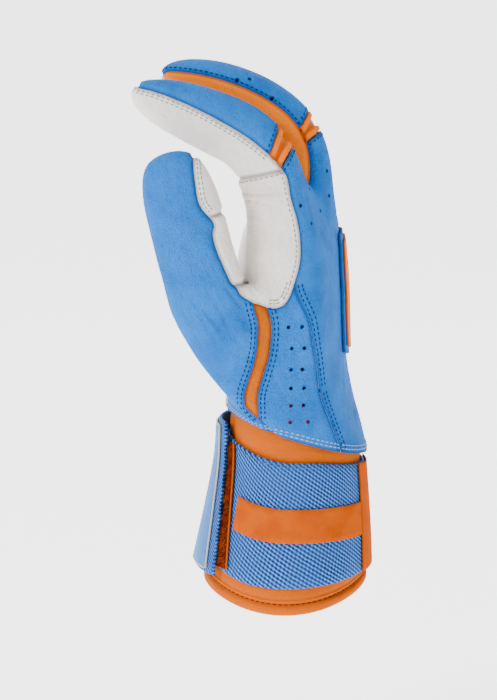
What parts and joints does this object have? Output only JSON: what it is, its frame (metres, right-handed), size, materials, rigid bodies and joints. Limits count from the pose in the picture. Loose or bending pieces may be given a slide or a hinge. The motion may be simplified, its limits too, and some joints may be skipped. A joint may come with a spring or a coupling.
{
  "type": "batting glove",
  "caption": "Right-hand batting glove in blue and pale leather with orange ribbed knuckle inserts, a padded cuff and a woven wrist strap, in its worn form.",
  "frame": {"origin": "middle of the opening at the cuff's hem, where the hand goes in", "axes": "+Z towards the fingers, +X towards the back of the hand, -Y towards the thumb side"},
  "size_m": [0.0944, 0.1034, 0.2142],
  "materials": {
    "blue_leather": "soft grained leather",
    "pale_leather": "fine grained pale leather",
    "orange_fabric": "stretch knit",
    "orange_rubber": "soft ribbed flex panel",
    "orange_knit": "padded brushed fabric",
    "blue_webbing": "woven webbing",
    "orange_print": "printed film on webbing",
    "hook_tape": "hook side of hook-and-loop tape",
    "pale_blue_patch": "moulded patch"
  },
  "bodies": {
    "root": {"back_panel": "blue_leather", "side_panel": "blue_leather", "thumb_panel": "blue_leather", "index_back": "blue_leather", "middle_back": "blue_leather", "ring_back": "blue_leather", "pinky_back": "blue_leather", "palm": "pale_leather", "web_wing": "pale_leather", "thumb_strip_upper": "pale_leather", "thumb_strip_lower": "pale_leather", "index_pad": "pale_leather", "middle_pad": "pale_leather", "ring_pad": "pale_leather", "pinky_pad": "pale_leather", "thumb_gusset": "orange_fabric", "index_middle_fourchette": "orange_fabric", "middle_ring_fourchette": "orange_fabric", "ring_pinky_fourchette": "orange_fabric", "index_knuckle_insert": "orange_rubber", "middle_knuckle_insert": "orange_rubber", "ring_knuckle_insert": "orange_rubber", "pinky_knuckle_insert": "orange_rubber", "back_patch": "blue_leather", "back_patch_face": "orange_rubber", "cuff": "orange_knit", "strap": "blue_webbing", "strap_stripe": "orange_print", "strap_panel": "orange_print", "hook_strip": "hook_tape", "tab": "blue_webbing", "tab_patch": "pale_blue_patch"}
  },
  "joints": []
}
